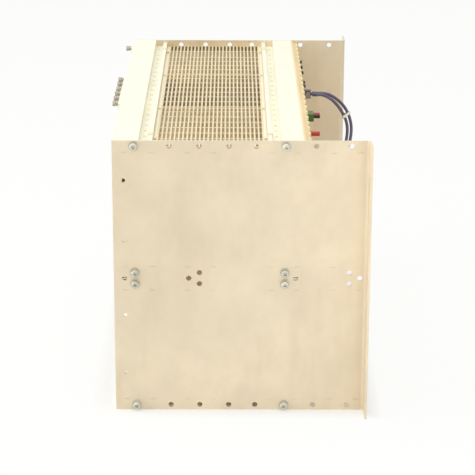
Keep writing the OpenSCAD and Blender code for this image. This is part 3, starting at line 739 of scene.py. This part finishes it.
@dataclass
class Fasteners:
    """The rail screws, the panels' captive screws and the backplane screws."""

    copies: CopiesTree
    rail_head: tuple[float, float] = (3.5, 4.0)
    washer: float = 0.8

    def rail_screws(self, side: int) -> None:
        """Builds the eight socket screws of one side plate, each over its washer.

        Args:
            side: 1 for the right plate, -1 for the left one.
        """
        radius, height = self.rail_head
        head = Shape.turned("socket_screw", [(2.0, -10.0), (2.0, 0.0), (radius, 0.0), (radius, 0.3),
                                             (radius, height - 0.5), (radius - 0.5, height)], 48, (3, 4), 0.12)
        socket = Shape.turned("socket", [(1.73, height - 2.0), (1.73, height + 1.0)], 6)
        Shape.cut(head, [socket])
        places = [SIZES.point(side * (SIZES.half_w + SIZES.sheet + self.washer), y, z)
                  for y in (SIZES.front_y, SIZES.rear_y) for z in
        (-SIZES.screw_z, -SIZES.mid_z, SIZES.mid_z, SIZES.screw_z)]
        label = "right" if side > 0 else "left"
        self.copies.piece("rail_socket_screws_" + label, head, places, (side, 0, 0), "rail_screw", FULL_TURN, 0.0,
                          5 + side, ("rail_screws_" + label,))

    def captive_screws(self) -> None:
        """Builds the knurled screws at the modules' corners."""
        head = Shape.turned("knurled_screw", [(1.25, -7.5), (1.25, 0.0), (1.9, 0.0), (1.9, 0.9), (2.2, 0.9),
                                              (2.45, 1.15), (2.45, 2.75), (2.2, 3.0),
                                              (2.4, 3.0), (2.7, 3.3), (2.7, 5.9), (2.4, 6.2)], 40, (9, 10), 0.16)
        slot = Shape.block("driver_slot", [((-4, -0.4, 5.4), (4, 0.4, 7))])
        Shape.cut(head, [slot])
        places = [SIZES.point(SIZES.slot_x(h + 1.5), -2.5, z) for h in SIZES.module_slots
                  for z in (SIZES.mid_z, SIZES.screw_z)]
        self.copies.piece("knurled_captive_screws", head, places, (0, -1, 0), "captive_screw", FULL_TURN, 0.0, 3,
                          ("captive_screws",))

    def backplane_screws(self, bay: str, middle: float) -> None:
        """Builds one backplane's rounded cross-head screws.

        Args:
            bay: Which bay, as in the solids' names.
            middle: Height of the bay's middle above the cage's middle.
        """
        head = Shape.turned("pan_screw", [(1.25, -6.0), (1.25, 0.0), (2.5, 0.0), (2.5, 0.7), (2.3, 1.3), (1.7, 1.75),
                                          (0.9, 1.9)], 20)
        cross = [Shape.block("cross_recess", [((-1.4, -0.25, 1.0), (1.4, 0.25, 3))]),
                 Shape.block("cross_recess_over", [((-0.25, -1.4, 1.1), (0.25, 1.4, 3.1))])]
        Shape.cut(head, cross)
        rise = (SIZES.screw_z - SIZES.mid_z) / 2
        places = [SIZES.point(SIZES.slot_x(4 * k + 0.5), SIZES.backplane_rear, middle + s * rise)
                  for k in range(SIZES.slots) for s in (-1, 1)]
        self.copies.piece(bay + "_backplane_cross_screws", head, places, (0, 1, 0), "backplane_screw", FULL_TURN,
                          0.0, 9, (bay + "_backplane_screws",))

    def build(self) -> None:
        """Builds every kind of screw."""
        for side in (1, -1):
            self.rail_screws(side)
        self.captive_screws()
        self.backplane_screws("upper", SIZES.bay_z)
        self.backplane_screws("lower", -SIZES.bay_z)


@dataclass
class Contacts:
    """The slot connectors' contacts: blades in their channels and soldered tails behind the backplanes."""

    copies: CopiesTree
    rows: int = 32
    step: float = 2.54
    channel_off: float = 2.1
    blade_in: float = 5.6

    def places(self, y: float, middle: float) -> list[Vector]:
        """Where one bay's contacts are, at a depth y."""
        return [SIZES.point(SIZES.board_x(h) + SIZES.socket_off + s * self.channel_off, y,
                            middle + (k - (self.rows - 1) / 2) * self.step)
                for h in SIZES.guide_slots for s in (-1, 1) for k in range(self.rows)]

    def build(self) -> None:
        """Builds the blades and the tails of both bays."""
        for bay, middle in (("upper", SIZES.bay_z), ("lower", -SIZES.bay_z)):
            blade = Shape.block("blade", [((-0.45, -0.5, 0), (-0.15, 0.5, 3.4)), ((0.15, -0.5, 0), (0.45, 0.5, 3.4))])
            self.copies.piece(bay + "_contact_blades", blade,
                              self.places(SIZES.backplane_front - self.blade_in, middle), (0, -1, 0), "tinned")
            tail = Shape.turned("solder_tail", [(0.95, 0.0), (0.7, 0.35), (0.38, 0.9), (0.3, 2.6), (0.1, 2.9)], 6)
            self.copies.piece(bay + "_solder_tails", tail, self.places(SIZES.backplane_rear, middle), (0, 1, 0),
                              "tinned", 1.0, 0.12, 4)


@dataclass
class BoardParts:
    """Small parts on the module boards: logic packages, resistors and electrolytic capacitors."""

    copies: CopiesTree
    seed: int = 11
    pins: int = 7
    pin_step: float = 2.54

    def face(self, unit: int, y: float, z: float) -> Vector:
        """A place on the part side of a board, y behind the front edge and z above the bay's middle."""
        return SIZES.point(SIZES.board_x(unit) + 0.8, y, SIZES.bay_z + z)

    def build(self) -> None:
        """Builds the three kinds of part, in rows clear of the relays and the potted blocks."""
        pick = random.Random(self.seed)
        legs = [(s, -7.62 + k * self.pin_step) for s in (-1, 1) for k in range(self.pins)]
        package = Shape.block("package", [((-3.2, -9.5, 0.6), (3.2, 9.5, 3.9))]
                              + [((s * 3.8 - 0.2, y - 0.4, 0.0), (s * 3.8 + 0.2, y + 0.4, 2.4)) for s, y in legs]
                              + [((s * 3.5 - 0.4, y - 0.4, 2.0), (s * 3.5 + 0.4, y + 0.4, 2.4)) for s, y in legs])
        chips, cans, resistors = [], [], []
        for h in SIZES.module_slots:
            for row, z in enumerate((-8.0, 5.0)):
                chips += [self.face(h, y, z) for y in (22, 47, 72, 97, 122) if pick.random() > 0.2]
            cans += [self.face(h, y, 36) for y in (70, 84, 98, 136) if pick.random() > 0.3]
            resistors += [self.face(h, y, z) for z in (17, 20.5, 24)
                          for y in range(66, 144, 6) if pick.random() > 0.3]
        self.copies.piece("logic_packages", package, chips, (1, 0, 0), "black_plastic")
        can = Shape.turned("can", [(3.4, 0.0), (3.4, 1.2), (3.15, 1.6), (3.4, 2.0), (3.4, 9.6), (3.1, 10.0),
                                   (2.9, 9.85)], 20)
        self.copies.piece("electrolytic_cans", can, cans, (1, 0, 0), "capacitor", 0.0, 0.12, 8)
        body = Shape.turned("resistor", [(1.1, 0.2), (1.25, 0.7), (1.1, 1.2), (1.1, 5.0), (1.25, 5.5), (1.1, 6.0)],
                            10)
        self.copies.piece("upright_resistors", body, resistors, (1, 0, 0), "holder", 0.0, 0.15, 6)


@dataclass
class Studio:
    """The floor, the soft light and the camera."""

    eye: Triple = (1.8701, -0.00465, 0.71505)
    lens: float = 141.92
    pitch: float = 18.16
    yaw: float = -0.19
    roll: float = 0.19
    world_level: float = 0.6
    floor_glow: float = 0.92
    # Painted shadow on the floor: inside the first of these half-widths, across and along, the floor's glow is taken
    # away; beyond the second it is whole.
    shadow_x: tuple[float, float] = (0.205, 0.24)
    shadow_y: tuple[float, float] = (0.105, 0.14)

    def camera(self) -> None:
        """Places the camera where the cage's near side plate faces it, seen from a little above."""
        data = bpy.data.cameras.new("camera")
        data.sensor_width = 36.0
        data.lens = self.lens
        data.clip_start, data.clip_end = 0.05, 50.0
        camera = bpy.data.objects.new("camera", data)
        bpy.context.scene.collection.objects.link(camera)
        yaw, pitch, roll = (math.radians(a) for a in (self.yaw, self.pitch, self.roll))
        forward, right, up = Vector((-1, 0, 0)), Vector((0, 1, 0)), Vector((0, 0, 1))
        turn = Matrix.Rotation(yaw, 3, "Z")
        forward, right = turn @ forward, turn @ right
        forward, up = (forward * math.cos(pitch) - up * math.sin(pitch),
                       up * math.cos(pitch) + forward * math.sin(pitch))
        right, up = right * math.cos(roll) + up * math.sin(roll), up * math.cos(roll) - right * math.sin(roll)
        camera.matrix_world = Matrix.Translation(self.eye) @ Matrix((right, up, -forward)).transposed().to_4x4()
        bpy.context.scene.camera = camera

    def lamp(self, name: str, place: Triple, aim: Triple, size: float, power: float) -> None:
        """Adds a soft square lamp.

        Args:
            name: The lamp's name.
            place: Where it hangs.
            aim: The point that it faces.
            size: Its side in metres.
            power: Its power in watts.
        """
        data = bpy.data.lights.new(name, "AREA")
        data.shape, data.size, data.energy = "SQUARE", size, power
        lamp = bpy.data.objects.new(name, data)
        bpy.context.scene.collection.objects.link(lamp)
        lamp.location = place
        lamp.rotation_euler = (Vector(aim) - Vector(place)).to_track_quat("-Z", "Y").to_euler()

    def world(self) -> None:
        """Lights the scene evenly, with a white background for the camera and in reflections."""
        world = bpy.data.worlds.new("studio")
        bpy.context.scene.world = world
        world.use_nodes = True
        nodes, links = world.node_tree.nodes, world.node_tree.links
        background = next(n for n in nodes if n.type == "BACKGROUND")
        path = nodes.new("ShaderNodeLightPath")
        seen = nodes.new("ShaderNodeMath")
        seen.operation = "ADD"
        seen.use_clamp = True
        both = nodes.new("ShaderNodeMath")
        both.operation = "ADD"
        both.use_clamp = True
        links.new(path.outputs["Is Camera Ray"], both.inputs[0])
        links.new(path.outputs["Is Glossy Ray"], both.inputs[1])
        links.new(both.outputs[0], seen.inputs[0])
        links.new(path.outputs["Is Transmission Ray"], seen.inputs[1])
        level = nodes.new("ShaderNodeMapRange")
        level.inputs["To Min"].default_value = self.world_level
        level.inputs["To Max"].default_value = 1.0
        links.new(seen.outputs[0], level.inputs["Value"])
        background.inputs["Color"].default_value = (1.0, 0.998, 0.985, 1.0)
        links.new(level.outputs[0], background.inputs["Strength"])

    def floor(self) -> None:
        """Lays a plain pale floor that is white to the camera; under the cage its glow is taken away as a painted
        shadow, and the cage's real shadow falls there too.
        """
        mesh = bpy.data.meshes.new("floor")
        mesh.from_pydata([(-9, -9, 0), (9, -9, 0), (9, 9, 0), (-9, 9, 0)], [], [(0, 1, 2, 3)])
        floor = bpy.data.objects.new("floor", mesh)
        bpy.context.scene.collection.objects.link(floor)
        sheet = ShaderSheet("pale_floor")
        patch = sheet.noise(3.0, 2.0, 0.5)
        sheet.colour(sheet.blend(patch, (0.86, 0.86, 0.84, 1.0), (0.90, 0.90, 0.88, 1.0)))
        sheet.surface.inputs["Roughness"].default_value = 0.8
        glow = sheet.add("ShaderNodeEmission", Color=(1.0, 1.0, 0.985, 1.0), Strength=1.0)
        path = sheet.nodes.new("ShaderNodeLightPath")
        seen = sheet.maths("MINIMUM", sheet.maths("ADD", path.outputs["Is Camera Ray"],
                                                  path.outputs["Is Glossy Ray"]), 1.0)
        x, y, _ = sheet.axes()
        # Painted shadow: the glow fades out over the cage's footprint, a darker patch set by place, on top of the
        # real shadow there.
        out_x = sheet.spread(sheet.maths("ABSOLUTE", x, 0.0), *self.shadow_x, 0.0, 1.0)
        out_y = sheet.spread(sheet.maths("ABSOLUTE", y, 0.0), *self.shadow_y, 0.0, 1.0)
        seen = sheet.maths("MULTIPLY", seen, sheet.maths("MAXIMUM", out_x, out_y))
        mix = sheet.nodes.new("ShaderNodeMixShader")
        sheet.links.new(sheet.maths("MULTIPLY", seen, self.floor_glow), mix.inputs[0])
        sheet.links.new(sheet.surface.outputs[0], mix.inputs[1])
        sheet.links.new(glow.outputs[0], mix.inputs[2])
        output = next(n for n in sheet.nodes if n.type == "OUTPUT_MATERIAL")
        sheet.links.new(mix.outputs[0], output.inputs["Surface"])
        mesh.materials.append(sheet.material)

    def build(self) -> None:
        """Sets up the view transform, the camera, the floor and the light."""
        bpy.context.scene.view_settings.view_transform = "Standard"
        self.camera()
        self.world()
        self.floor()
        self.lamp("overhead", (0.1, -0.2, 1.7), (0.0, 0.0, 0.15), 1.6, 13.0)
        self.lamp("open_side", (0.2, -1.5, 0.45), (0.0, 0.0, 0.15), 1.2, 17.0)
        self.lamp("low_fill", (0.62, 0.2, 0.08), (0.218, 0.06, 0.02), 0.36, 0.42)
        LOG.info("studio set")


def main() -> None:
    """Builds the classes in order."""
    logging.basicConfig(level=logging.INFO, format="%(name)s: %(message)s")
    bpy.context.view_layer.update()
    Studio().build()
    CadDress().build()
    copies = CopiesTree()
    Fasteners(copies).build()
    Contacts(copies).build()
    BoardParts(copies).build()
    PowerWires().build()


if __name__ == "__main__":
    main()
